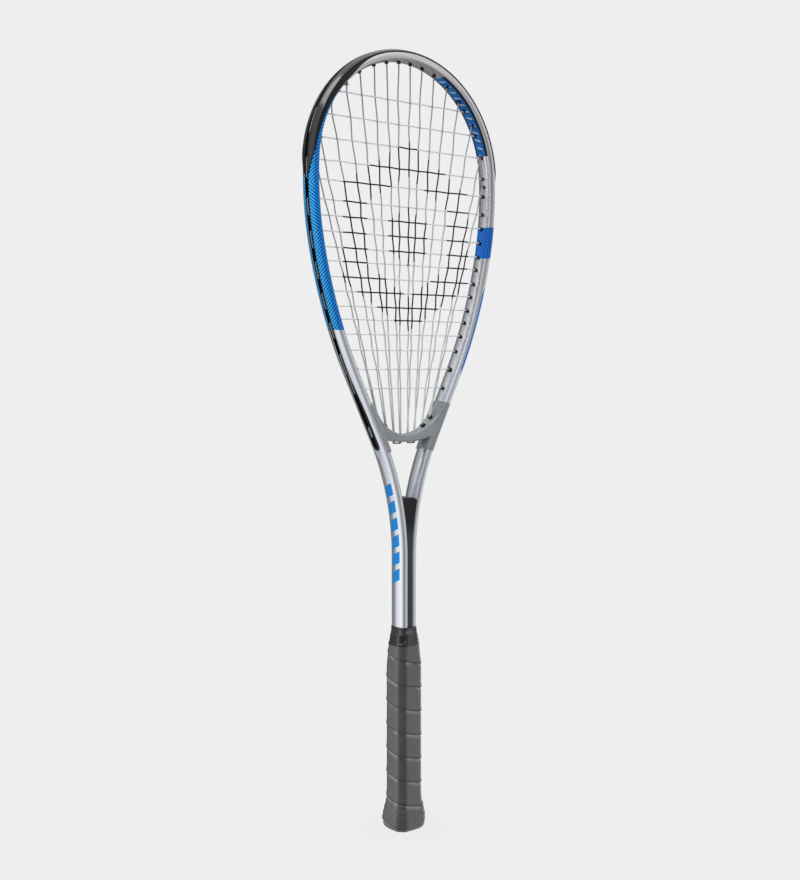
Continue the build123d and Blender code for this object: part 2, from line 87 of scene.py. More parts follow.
# heights up the handle, with its half width, half depth and bevel
outside = ((0.0, 15.0, 13.7, 6.2), (2.5, 16.5, 15.2, 6.6), (6.0, 17.2, 15.9, 6.8),
           (12.0, 17.3, 16.0, 6.8), (18.0, 16.4, 15.1, 6.5), (23.0, 15.1, 13.9, 6.0),
           (28.0, 14.2, 13.1, 5.6), (34.0, 14.0, 12.9, 5.5), (147.0, 14.0, 12.9, 5.5),
           (168.0, 12.3, 11.5, 5.2), (176.5, 11.4, 10.6, 5.0))
seam_z, seam_bearing, seam_pitch = 153.8, -130.0, 21.4  # a point of the grip's seam, rise a turn
lap_lift, lap_share = 0.50, 0.24  # how proud each turn's edge stands, and how soon it sinks
crease_depth, crease_share = 0.52, 0.085
neck_z, neck_run = 175.2, 2.4  # where the tape leaves the handle for the shaft
bearings = np.linspace(-math.pi, math.pi, 144, endpoint=False)

# paint: heights along the racket, and widths round the tube from the middle of its outer side
hatch_bottom_z, hatch_full_z, hatch_top_z = 443.0, 590.0, 648.0
hatch_pitch, hatch_line = 2.8, 0.45
chevron_z = (524.0, 564.0)  # the hatching leans the other way between these heights
strip_edge = 6.2
guard_reach = 9.2
black_top_z = 678.0
swoosh_foot_z, swoosh_head_z, swoosh_edges = (386.0, 412.0), (476.0, 496.0), (12.0, 6.0)
inner_band_z, inner_band_x, block_pitch = (604.0, 668.0), 33.0, 7.6
bar_bottom, bar_count, bar_pitch, bar_share, bar_edge = 222.5, 6, 15.2, 0.68, 4.7
patch_bottom_z, patch_top_z = 511.0, 539.5
# the second height is where the inner face's painted reflection begins
silver_warms_z, tip_reflection_z = (330.0, 640.0), 640.0
wedge_reflection_end_z = (258.0, 276.0)
stencil_x, stencil_z = 4.0, 526.0
stencil_outer, stencil_inner, stencil_core = 84.0, 54.0, 27.0
string_fade_z = (380.0, 660.0)

# view and studio, in degrees, metres and linear light
camera_azimuth, camera_elevation, camera_distance, camera_lens = -40.0, 3.3, 1.160, 53.78
aim_left, aim_up = 0.0035, 0.0047
backdrop = 0.855
room_light, room_top, room_floor = 0.30, 1.45, 0.50
panels = ((-102, 12, 1.65), (-150, 30, 0.25), (95, 20, 1.4), (34, 16, 0.95),
          (178, 4, -0.24))  # azimuth, tightness and gain of each
softbox_aim = Vector((0, 0, 0.36))
contact_shade, contact_reach = 0.97, (12.0, 60.0)

half_width, half_depth = tube_width / 2, tube_depth / 2
tip_z = total_length - guard_skin - half_width


# -------------------- the tube's centre line
def walk(stretch, distance):
    """Position and heading this far along a stretch of the centre line."""
    _, _, x, z, heading, radius = stretch
    if radius is None:
        return x + distance * math.cos(heading), z + distance * math.sin(heading), heading
    turned = heading - distance / radius
    centre_x = x + radius * math.sin(heading)
    centre_z = z - radius * math.cos(heading)
    return centre_x - radius * math.sin(turned), centre_z + radius * math.cos(turned), turned


def lay_out_path():
    """The right half of the centre line, from the tip down, as tangent stretches."""
    arcs = ((100.0, 87.0), (290.0, 13.0), (420.0, 16.5))
    throat_radius = 235.0
    back_turn = math.radians(sum(turn for _, turn in arcs) - 90.0)
    stretches = []
    x, z, heading, run = 0.0, tip_z, 0.0, 0.0

    def add(length, radius):
        nonlocal x, z, heading, run
        stretches.append((run, length, x, z, heading, radius))
        x, z, heading = walk(stretches[-1], length)
        run += length

    for radius, turn in arcs:
        add(radius * math.radians(turn), radius)
    throat_shift = throat_radius * (1 - math.cos(back_turn))
    add((x - leg_x - throat_shift) / math.sin(back_turn), None)
    add(throat_radius * back_turn, -throat_radius)
    add(z - leg_bottom, None)
    return stretches


path = lay_out_path()
path_end = path[-1][0] + path[-1][1]


def at(s):
    """Position and heading at a length from the tip."""
    for stretch in path:
        if s <= stretch[0] + stretch[1]:
            return walk(stretch, s - stretch[0])
    return walk(path[-1], s - path[-1][0])


def beside(s, out, across=0.0):
    """(x, z) this far outside the centre line and along it from s, on the right half."""
    x, z, heading = at(s)
    return (x - out * math.sin(heading) + across * math.cos(heading),
            z + out * math.cos(heading) + across * math.sin(heading))


def point(s, out, y=0.0):
    """The point `out` outside the centre line, on the right half where s > 0."""
    x, z = beside(abs(s), out)
    return Vector((x if s >= 0 else -x, y, z)) * MM


# -------------------- the tube's section
side_radius = ((half_width ** 2 + (half_depth - tube_nose) ** 2 - tube_nose ** 2)
               / (2 * (half_width - tube_nose)))
turn_point = math.atan2(half_depth - tube_nose, side_radius - half_width)
side_run = side_radius * turn_point
nose_run = tube_nose * (math.pi - 2 * turn_point)
half_round = 2 * side_run + nose_run
inner_side = side_run + nose_run  # where the inner face begins
nose_end = side_run + 0.86 * nose_run  # the inner edge of the paint on the nose


def skin_point(t, extra=0.0):
    """(out, y) on the section, `t` round from the middle of its outer side, `extra` proud."""
    if t > half_round / 2:
        out, y = skin_point(half_round - t, extra)
        return -out, y
    if t <= side_run:
        angle = t / side_radius
        reach = side_radius + extra
        return half_width - side_radius + reach * math.cos(angle), reach * math.sin(angle)
    angle = turn_point + (t - side_run) / tube_nose
    reach = tube_nose + extra
    return reach * math.cos(angle), half_depth - tube_nose + reach * math.sin(angle)


def round_at(y):
    """The place round the outer half of the section where it is `y` from the middle plane."""
    if y <= side_radius * math.sin(turn_point):
        return side_radius * math.asin(y / side_radius)
    rise = (y - half_depth + tube_nose) / tube_nose
    return side_run + tube_nose * (math.asin(rise) - turn_point)


def bend(before, here, after, radius, steps):
    """A curve in place of the corner `here`, which leaves and meets its sides `radius` away."""
    before, here, after = Vector(before), Vector(here), Vector(after)
    start = here + (before - here).normalized() * min(radius, (before - here).length / 2)
    end = here + (after - here).normalized() * min(radius, (after - here).length / 2)
    shares = [j / steps for j in range(steps + 1)]
    return [start.lerp(here, f).lerp(here.lerp(end, f), f) for f in shares]


def soften(corners, steps=3):
    """A line through (a, b, radius) corners, each cut round by its radius."""
    points = []
    for k, (a, b, radius) in enumerate(corners):
        if not radius or k in (0, len(corners) - 1):
            points.append((a, b))
        else:
            curve = bend(corners[k - 1][:2], (a, b), corners[k + 1][:2], radius, steps)
            points += [tuple(middle) for middle in curve]
    return points


def unit(f):
    """The number held between 0 and 1."""
    return min(1.0, max(0.0, f))


def find(measure, target, low=0.0, high=path_end):
    """The length s at which a falling or rising measure reaches its target."""
    rising = measure(high) > measure(low)
    for _ in range(50):
        middle = (low + high) / 2
        if (measure(middle) < target) == rising:
            low = middle
        else:
            high = middle
    return (low + high) / 2


trough_floor = half_width - channel_depth + strip_floor
string_out = trough_floor + string_d / 2
inner_tip = -(half_width + barrel_stands)
s_channel_end = find(lambda s: at(s)[1], channel_end_z)
s_flare, s_flared = [find(lambda s: at(s)[1], z) for z in channel_flare_z]
s_guard_end = find(lambda s: at(s)[1], guard_end_z)
s_guard_taper = find(lambda s: at(s)[1], guard_taper_z)
crown_run = path[1][0]
s_main = [find(lambda s: point(s, inner_tip).x / MM, x, 0, crown_run) for x in main_top_x]
s_main.append(find(lambda s: point(s, inner_tip).z / MM, side_main_z))
s_cross = [find(lambda s: point(s, inner_tip).z / MM, z) for z in cross_z]


# -------------------- making pieces
def make_piece(name, material, verts, faces, marks=None, stands_for=()):
    """A closed mesh piece that rides on the one body, with its outside facing out."""
    mesh = bpy.data.meshes.new(name)
    mesh.from_pydata(verts, [], faces)
    for key, values in (marks or {}).items():
        mesh.attributes.new(key, "FLOAT", "POINT").data.foreach_set("value", values)
    shell = bmesh.new()
    shell.from_mesh(mesh)
    bmesh.ops.remove_doubles(shell, verts=shell.verts, dist=1e-7)
    bmesh.ops.dissolve_degenerate(shell, edges=shell.edges, dist=1e-7)
    bmesh.ops.recalc_face_normals(shell, faces=shell.faces)
    shell.to_mesh(mesh)
    shell.free()
    mesh.shade_smooth()
    mesh.materials.append(material)
    piece = bpy.data.objects.new(name, mesh)
    scene.collection.objects.link(piece)
    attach(piece, "root")
    if stands_for:
        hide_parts(*stands_for)


def loft(rings, run_closed=False, base=0):
    """Faces between equal rings, numbered from `base`; the run has caps or closes on itself."""
    n, count = len(rings[0]), len(rings)
    faces = []
    for r in range(count if run_closed else count - 1):
        low, high = base + r * n, base + (r + 1) % count * n
        for k in range(n):
            nxt = (k + 1) % n
            faces.append((low + k, low + nxt, high + nxt, high + k))
    if not run_closed:
        faces.append(tuple(base + k for k in reversed(range(n))))
        faces.append(tuple(base + (count - 1) * n + k for k in range(n)))
    return faces


def both_halves(half):
    """A closed outline from its half where y > 0, which starts and ends at y = 0."""
    return half + [(out, -y) for out, y in reversed(half[1:-1])]


def even(low, high, step):
    """Places from low to high, about `step` apart."""
    count = max(1, round((high - low) / step))
    return [low + (high - low) * k / count for k in range(count + 1)]


# -------------------- the tube
def flared_half(s):
    """Half width of the channel, which widens towards its end."""
    share = unit((abs(s) - s_flare) / (s_flared - s_flare))
    return (channel_width + (channel_end_width - channel_width) * share) / 2


def groove_at(s):
    """Half width and depth of the string channel at a length from the tip."""
    past = abs(s) - s_channel_end
    half = flared_half(s)
    if past < half:
        return math.sqrt(half ** 2 - max(0.0, past) ** 2), channel_depth
    fade = max(0.0, 1 - (past - half) / dent_run)  # the pressing runs out in a shallow dent
    return dent_half * math.sqrt(fade), dent_depth * fade ** 2


def tube_outline(s):
    """The tube's section, and how far round it each of its points lies."""
    half, depth = groove_at(s)
    edge = round_at(half)
    floor, rim = half_width - depth, skin_point(edge)
    lead = round_at(flared_half(s) + 0.5)
    start = soften([(floor, 0, 0), (floor, half, 0.35), (*rim, 0.3), (*skin_point(lead), 0)])
    marks = [0.0] * 5 + [edge] * 4 + [lead]
    rest = [lead + (side_run - lead) * k / 4 for k in range(1, 4)]
    rest += [side_run + nose_run * k / 14 for k in range(15)]
    rest += [side_run + nose_run + side_run * k / 7 for k in range(1, 8)]
    half_line = start + [skin_point(t) for t in rest]
    half_marks = marks + rest
    return both_halves(half_line), half_marks + list(reversed(half_marks[1:-1]))


def make_tube(material):
    # closer steps follow the round end of the channel
    past_end = [s_channel_end + channel_end_width / 2 * math.sin(math.radians(a))
                for a in (0, 20, 40, 55, 70, 80, 90)]
    right = even(0, s_channel_end - 1, 2.5) + past_end
    right += even(past_end[-1] + 0.05, path_end, 2.5)
    verts, rings, along, around = [], [], [], []
    for s in [-s for s in reversed(right[1:])] + right:
        outline, places = tube_outline(s)
        ring = [point(s, out, y) for out, y in outline]
        rings.append(ring)
        verts += ring
        along += [abs(s)] * len(ring)
        around += places
    make_piece("tube", material, verts, loft(rings),
               {"along": along, "around": around}, ("frame_tube",))


# -------------------- head guard
def guard_edge_at(s):
    """Half of the guard's width over the tube's face."""
    share = unit((abs(s) - s_guard_taper) / (s_guard_end - s_guard_taper))
    return guard_front + (guard_end_front - guard_front) * share


def guard_outline(s):
    """The guard's section: its trough in the channel, its cover, rim and underside."""
    wall = strip_trough / 2
    reach = round_at(guard_edge_at(s))
    start = round_at(wall)
    bed, side = half_width - channel_depth + 0.05, channel_width / 2 - 0.05
    over = [start + 0.45 + (reach - start - 0.9) * k / 12 for k in range(13)]
    under = [round_at(side) + 0.2 + (reach - round_at(side) - 0.5) * k / 8 for k in range(9)]
    top = soften([(trough_floor, 0, 0), (trough_floor, wall, 0.3),
                  (*skin_point(start, guard_skin), 0.4), (*skin_point(over[0], guard_skin), 0)])
    top += [skin_point(t, guard_skin) for t in over[1:]]
    rim = soften([(*top[-1], 0), (*skin_point(reach, guard_skin), 0.45),
                  (*skin_point(reach, 0.05), 0.1), (*skin_point(under[-1], 0.05), 0)])
    low = [skin_point(t, 0.05) for t in reversed(under[:-1])]
    low += [(skin_point(round_at(side))[0], side), (bed, side), (bed, 0)]
    return both_halves(top + rim[1:] + low)


def barrel_rings(s, side, lane, outer, bore, turn=20):
    """Rings of the hollow peg round the string's hole at s, on one side of the racket."""
    profile = soften([(trough_floor - 0.4, outer, 0), (inner_tip, outer, 0.35),
                      (inner_tip, bore, 0.3), (trough_floor - 0.2, bore, 0)])
    rings = []
    for depth, radius in profile:
        ring = []
        for angle in [math.tau * k / turn for k in range(turn)]:
            x, z = beside(s, depth, radius * math.cos(angle))
            ring.append(Vector((side * x, lane + radius * math.sin(angle), z)) * MM)
        rings.append(ring)
    return rings


def make_guard(material):
    right = even(0, s_guard_taper, 2.2) + even(s_guard_taper + 1.5, s_guard_end, 1.5)
    rings = [[point(s, out, y) for out, y in guard_outline(s)]
             for s in [-s for s in reversed(right[1:])] + right]
    verts = [p for ring in rings for p in ring]
    faces = loft(rings)
    holes = [(s, main_lane, barrel) for s in s_main] + [(s, cross_lane, barrel) for s in s_cross]
    holes[tie_off_main] = (s_main[tie_off_main], 0.0, wide_barrel)
    holes[len(s_main) + tie_off_cross] = (s_cross[tie_off_cross], 0.0, wide_barrel)
    for s, lane, size in holes:
        if s > s_guard_end:
            continue
        for side in (1, -1):
            peg = barrel_rings(s, side, lane, *size)
            faces += loft(peg, run_closed=True, base=len(verts))
            verts += [p for ring in peg for p in ring]
    make_piece("head_guard_shell", material, verts, faces,
               stands_for=("head_guard",))


# -------------------- strings
rise_main, rise_cross = 0.5, 0.75  # how far each leaves the middle plane at a crossing
main_wander, cross_wander = 0.3, 0.08  # how far each strays from its straight line
string_step = 1.7
bed_low, bed_high = 0.02, 0.99  # the shares of a main string's run that can be crossed
string_bend = 1.3  # the radius at which a string turns out of its hole
in_channel = -1  # stands for that radius at a point inside the channel


def smooth(f):
    return f * f * (3 - 2 * f)


def woven(start, end, knots, side_dir):
    """A run from start to end, both (x, z), eased through knots of (share, y, sideways)."""
    points = []
    length = math.dist(start, end)
    for (f0, y0, w0), (f1, y1, w1) in zip(knots, knots[1:]):
        count = max(2, round((f1 - f0) * length / string_step))
        for k in range(count):
            share = k / count
            f = f0 + (f1 - f0) * share
            ease = smooth(share)
            sideways = w0 + (w1 - w0) * ease
            x = start[0] + (end[0] - start[0]) * f + sideways * side_dir[0]
            z = start[1] + (end[1] - start[1]) * f + sideways * side_dir[1]
            points.append((x, y0 + (y1 - y0) * ease, z, 0))
    points.append((end[0], knots[-1][1], end[1], 0))
    return points


def out_point(s, out):
    p = point(s, out) / MM
    return p.x, p.z


def long_mouth(hole):
    """Length s of the outer mouth of a barrel that runs through the bridge and the leg."""
    return find(lambda s: point(s, string_out).z / MM, long_barrels[hole][1])


def main_ends(index):
    """Bottom mouth, bottom tip and top tip of a main string of the right half, as (x, z)."""
    top = out_point(s_main[index], inner_tip)
    hole = index // 2
    if hole < 2:
        x, z = bridge_holes[hole]
        return (x, bridge_under_z - 1.0), (x, z + 0.5), top
    return out_point(long_mouth(hole - 2), string_out), long_barrels[hole - 2][0], top


def crossing_share(index, z):
    """How far up a main string's run the height z lies."""
    _, foot, top = main_ends(index)
    return (z - foot[1]) / (top[1] - foot[1])


def goes_over(index, side, k):
    """Whether a main string passes in front of cross string k."""
    column = len(s_main) + (index if side > 0 else -1 - index)
    return (column + k) % 2 == 0


def main_run(index, side):
    """One main string from below the bridge up to the channel, woven through the crosses."""
    low_y = main_lane if index % 2 == 0 else cross_lane
    mouth, foot, top = main_ends(index)
    knots = [(0.0, low_y, 0.0)]
    for k in reversed(range(len(cross_z))):
        share = crossing_share(index, cross_z[k])
        if bed_low < share < bed_high:
            y = -rise_main if goes_over(index, side, k) else rise_main
            knots.append((share, y, dice.uniform(-main_wander, main_wander)))
    knots.append((1.0, main_lane, 0.0))
    run = [(mouth[0], low_y, mouth[1], string_bend)] + woven(foot, top, knots, (1, 0))
    return run + hole_mouth(s_main[index], main_lane)


def hole_mouth(s, lane):
    """The corner where a string turns from its hole into the channel."""
    x, z = out_point(s, string_out)
    return [(x, lane, z, string_bend)]


def channel_run(s0, s1, y0, y1=None):
    """Points between two holes along the channel, without its ends, in lane y0 or going to y1."""
    y1 = y0 if y1 is None else y1
    count = max(2, round(abs(s1 - s0) / 3))
    run = []
    for k in range(1, count):
        x, z = out_point(s0 + (s1 - s0) * k / count, string_out)
        run.append((x, y0 + (y1 - y0) * k / count, z, in_channel))
    return run


def tie_off(s, lane, other):
    """The end of a string: out of its hole, round the string beside it, and a short tail."""
    turns, radius = 1.25, string_d * 0.96
    outer_side = math.copysign(radius, lane - other)
    points = []
    for share in [k / 20 for k in range(21)]:
        angle = math.tau * turns * share
        points.append((inner_tip - 0.6 - 1.5 * share, radius * math.sin(angle),
                       other + outer_side * math.cos(angle)))
    depth, across, y = points[-1]
    points.append((depth - 0.4, across * 1.3, y))
    places = [(*beside(s, depth, across), y) for depth, across, y in points]
    return [(x, y, z, 0) for x, z, y in places]


def main_half(side):
    """Half of the main string, from the tip to its tie-off, as it lies on the right."""
    half = channel_run(0, s_main[0], main_lane)
    order = (0, 2, 1, 3, 4, 6, 5, 7)
    for step, index in enumerate(order):
        run = main_run(index, side)
        going_down = step % 2 == 0
        half += reversed(run) if going_down else run
        if step == len(order) - 1:
            break
        following = order[step + 1]
        low_y = main_lane if index % 2 == 0 else cross_lane
        if not going_down:
            half += channel_run(s_main[index], s_main[following], main_lane)
        elif index // 2 >= 2:
            half += channel_run(long_mouth(index // 2 - 2), long_mouth(following // 2 - 2), low_y)
    tie = s_cross[tie_off_cross]
    half += channel_run(s_main[-1], tie, main_lane)
    return half + hole_mouth(tie, main_lane) + tie_off(tie, main_lane, cross_lane)


def flip(points):
    """The same points on the other half of the racket."""
    return [(-x, y, z, r) for x, y, z, r in points]


def main_route():
    """The main string's (x, y, z, radius) points, from its left tie-off to its right one."""
    left = flip(reversed(main_half(-1)))
    return left + [(0, main_lane, tip_z + string_out, 0)] + main_half(1)


def cross_run(k):
    """One cross string from the left to the right, woven through the mains."""
    right = out_point(s_cross[k], inner_tip)
    left = (-right[0], right[1])
    knots = [(0.0, cross_lane, 0.0)]
    places = []
    for side in (-1, 1):
        for index in range(len(s_main)):
            share = crossing_share(index, cross_z[k])
            if bed_low < share < bed_high:
                _, foot, top = main_ends(index)
                x = side * (foot[0] + (top[0] - foot[0]) * share)
                places.append((x, goes_over(index, side, k)))
    for x, main_over in sorted(places):
        share = (x - left[0]) / (right[0] - left[0])
        rise = rise_cross if main_over else -rise_cross
        knots.append((share, rise, dice.uniform(-cross_wander, cross_wander)))
    knots.append((1.0, cross_lane, 0.0))
    return woven(left, right, knots, (0, 1))


def cross_route():
    """The cross string's points, down the head from side to side."""
    tie = s_main[tie_off_main]
    route = flip(reversed(tie_off(tie, cross_lane, main_lane)))
    route += flip(hole_mouth(tie, cross_lane) + channel_run(tie, s_cross[0], cross_lane))
    for k, s in enumerate(s_cross):
        corner = hole_mouth(s, cross_lane)
        run = flip(corner) + cross_run(k) + corner
        heads_right = k % 2 == 0
        route += run if heads_right else reversed(run)
        if k + 1 < len(s_cross):
            link = channel_run(s, s_cross[k + 1], cross_lane)
            route += link if heads_right else flip(link)
    tie = s_cross[tie_off_bottom]
    end = channel_run(s_cross[-1], tie, cross_lane, main_lane) + hole_mouth(tie, main_lane)
    return route + flip(end + tie_off(tie, main_lane, cross_lane))


def round_corners(route):
    """Each corner as a curve; every point comes with 1 where it lies in the channel."""
    points = []
    for k, (x, y, z, radius) in enumerate(route):
        if radius <= 0:
            points.append((Vector((x, y, z)), float(radius == in_channel)))
        else:
            curve = bend(route[k - 1][:3], (x, y, z), route[k + 1][:3], radius, 5)
            points += [(middle, 1.0) for middle in curve]
    return points


def cord_rings(points, radius, turn=10):
    """Rings round a line of points, carried along it without twist."""
    rings, across = [], None
    for k, here in enumerate(points):
        ahead = (points[min(k + 1, len(points) - 1)] - points[max(k - 1, 0)]).normalized()
        if across is None:
            across = ahead.orthogonal().normalized()
        across = (across - ahead * across.dot(ahead)).normalized()
        over = ahead.cross(across)
        rings.append([(here + (across * math.cos(math.tau * j / turn)
                               + over * math.sin(math.tau * j / turn)) * radius) * MM
                      for j in range(turn)])
    return rings


def make_string(name, route, material, stands_for):
    points = round_corners(route)
    kept = [points[0]]
    for here, held in points[1:]:
        if (here - kept[-1][0]).length > 0.2:
            kept.append((here, held))
    rings = cord_rings([here for here, _ in kept], string_d / 2)
    verts = [p for ring in rings for p in ring]
    marks = [held for _, held in kept for _ in rings[0]]
    make_piece(name, material, verts, loft(rings), {"held": marks}, (stands_for,))


# -------------------- handle
def outside_at(z):
    """Half width, half depth and bevel of the finished handle at a height."""
    for low, high in zip(outside, outside[1:]):
        if z <= high[0]:
            break
    share = unit((z - low[0]) / (high[0] - low[0]))
    return [p + (q - p) * share for p, q in zip(low[1:], high[1:])]


def polar(outline, steps=12):
    """The reach of a closed outline from the handle's axis, at every angle of `bearings`."""
    loop = sorted(outline, key=lambda corner: math.atan2(corner[1], corner[0]))
    angles, reach = [], []
    for (x0, y0), (x1, y1) in zip(loop, loop[1:] + loop[:1]):
        for k in range(steps):
            x, y = x0 + (x1 - x0) * k / steps, y0 + (y1 - y0) * k / steps
            angles.append(math.atan2(y, x))
            reach.append(math.hypot(x, y))
    return np.interp(bearings, angles, reach, period=math.tau)


def octagon_reach(z, extra):
    """The handle's reach from its axis at every angle of `bearings`."""
    a, b, bevel = np.mean([outside_at(z + lift) for lift in (-2.4, -1.2, 0.0, 1.2, 2.4)], axis=0)
    a, b, bevel = a + extra, b + extra, bevel + 0.586 * extra
    quarter = [(a, b - bevel), (a - bevel, b)]
    half = quarter + [(-x, y) for x, y in reversed(quarter)]
    corners = half + [(-x, -y) for x, y in half]
    loop = corners[-1:] + corners + corners[:1]
    outline = soften([(x, y, handle_corner) for x, y in loop], 4)[1:-1]
    return polar(outline)


def shaft_reach(extra):
    """The reach of both legs of the shaft together, as a band of tape lies round them."""
    edge = [skin_point(half_round / 2 * k / 24, extra) for k in range(25)]
    outline = [(sx * (leg_x + out), sy * y) for out, y in edge for sx in (1, -1) for sy in (1, -1)]
    outline += [(0.0, half_depth - 0.25 + extra), (0.0, 0.25 - half_depth - extra)]
    return polar(outline)


def ring_at(z, reach):
    heights = z if hasattr(z, "__len__") else [z] * len(reach)
    return [Vector((r * math.cos(a), r * math.sin(a), h)) * MM
            for a, r, h in zip(bearings, reach, heights)]


def make_grip(material):
    """The grip strip, wound upwards with each turn over the edge of the one below."""
    share_round = (bearings - math.radians(seam_bearing)) / math.tau
    across = np.degrees(np.arctan2(np.abs(np.sin(bearings)), np.abs(np.cos(bearings))))
    # 1 on the four bevels between the broad faces and the narrow ones, where the grip's colour is
    # darkened as painted shade
    bevel = np.clip((across - 24.0) / 8, 0, 1) * np.clip((62.0 - across) / 8, 0, 1)
    rim = grip_bottom - 1.5  # the strip's folded end bulges under the cap
    rings, marks = [], []
    for z in even(rim, grip_top, 0.45):
        phase = np.mod((z - seam_z) / seam_pitch + share_round, 1.0)
        lift = lap_lift * (1 - smooth(np.clip(phase / lap_share, 0, 1)))
        dip = crease_depth * np.exp(-((1 - phase) / crease_share) ** 2)
        # creased most over the butt's flare and below the tape
        flare = math.exp(-((z - 16) / 12) ** 2) + 0.35 * math.exp(-((z - 158) / 8) ** 2)
        ripple = 0.20 * flare * np.sin((z + 6.0 * np.sin(bearings * 2)) * 1.25 + bearings * 1.3)
        edge = min(1.0, (z - rim) / 2.6, (grip_top - z) / 0.7)
        edge_drop = (2.0 if z < 20 else 0.7) * (1 - math.sqrt(max(0.0, 1 - (1 - edge) ** 2)))
        reach = octagon_reach(z, 0.15) + lift - dip + ripple - edge_drop
        rings.append(ring_at(z, reach))
        marks += list(phase)
    bottom = ring_at(grip_bottom, octagon_reach(grip_bottom, -1.7))
    top = ring_at(grip_top - 0.02, octagon_reach(grip_top, -1.7))
    rings = [bottom] + rings + [top]
    marks = [0.5] * len(bearings) + marks + [0.5] * len(bearings)
    verts = [p for ring in rings for p in ring]
    make_piece("grip_winding", material, verts, loft(rings, run_closed=True),
               {"turn": marks, "bevel": list(bevel) * len(rings)}, ("grip_wrap",))


def make_tape(material):
    """The band of tape over the grip's top edge, the neck of the handle and the shaft."""
    shaft = shaft_reach(tape_skin)
    rings = []
    for z in even(tape_bottom, tape_top, 0.4):
        share = smooth(unit((z - neck_z) / neck_run))
        body = octagon_reach(min(z, handle_top), 0.12 if z < grip_top else -0.05)
        over_edge = 0.42 * smooth(unit((grip_top + 0.6 - z) / 0.8))
        reach = body * (1 - share) + shaft * share + over_edge * (1 - share)
        crease = 0.16 * np.sin(bearings * 5 + z * 0.9) * np.sin(bearings * 3 - z * 0.55)
        crease += 0.10 * np.sin(bearings * 9 - z * 1.7)
        lap = np.mod((z - 171.0) / 22.0 + (bearings + 1.2) / math.tau, 1.0)
        step = 0.22 * (1 - np.clip(lap / 0.35, 0, 1))
        edge = min(1.0, (z - tape_bottom) / 0.5, (tape_top - z) / 0.5)
        reach = reach + crease * (0.35 + 0.65 * share) + step - 0.3 * (1 - max(0.0, edge)) ** 2
        rings.append(ring_at(z, reach))
    bottom = ring_at(tape_bottom, octagon_reach(tape_bottom, 0.02))
    top = ring_at(tape_top, shaft_reach(0.06))
    rings = [bottom] + rings + [top]
    verts = [p for ring in rings for p in ring]
    make_piece("neck_tape", material, verts, loft(rings, run_closed=True),
               stands_for=("finishing_tape",))


# -------------------- materials
def srgb(red, green, blue):
    """Linear colour from 0 to 255 display values."""
    def linear(value):
        v = value / 255
        return v / 12.92 if v <= 0.04045 else ((v + 0.055) / 1.055) ** 2.4
    return (linear(red), linear(green), linear(blue), 1.0)


class Nodes:
    """A node tree's arithmetic, built up by small calls; sockets and numbers mix freely."""

    def __init__(self, tree):
        self.tree = tree

    def plug(self, socket, value):
        if isinstance(value, bpy.types.NodeSocket):
            self.tree.links.new(value, socket)
        else:
            socket.default_value = value

    def node(self, kind, *values):
        """A new node with these values in its first sockets."""
        node = self.tree.nodes.new("ShaderNode" + kind)
        for socket, value in zip(node.inputs, values):
            self.plug(socket, value)
        return node

    def math(self, operation, *values):
        node = self.node("Math", *values)
        node.operation = operation
        return node.outputs[0]

    def add(self, *values):
        return reduce(lambda a, b: self.math("ADD", a, b), values)

    def times(self, *values):
        return reduce(lambda a, b: self.math("MULTIPLY", a, b), values)

    def either(self, *masks):
        return reduce(lambda a, b: self.math("MAXIMUM", a, b), masks)

    def above(self, value, limit):
        return self.math("GREATER_THAN", value, limit)

    def below(self, value, limit):
        return self.math("LESS_THAN", value, limit)

    def between(self, value, low, high):
        return self.times(self.above(value, low), self.below(value, high))

    def share_of(self, value, pitch):
        """How far into its present pitch a value is, from 0 to 1."""
        return self.math("FRACT", self.math("DIVIDE", value, pitch))

    def less(self, mask):
        return self.math("SUBTRACT", 1.0, mask)

    def blend(self, factor, a, b):
        """A number between a and b."""
        return self.add(self.times(self.less(factor), a), self.times(factor, b))

    def vector(self, operation, *values):
        node = self.node("VectorMath", *values)
        node.operation = operation
        return node.outputs["Value" if operation == "DOT_PRODUCT" else "Vector"]

    def split(self, vector):
        return self.node("SeparateXYZ", vector).outputs


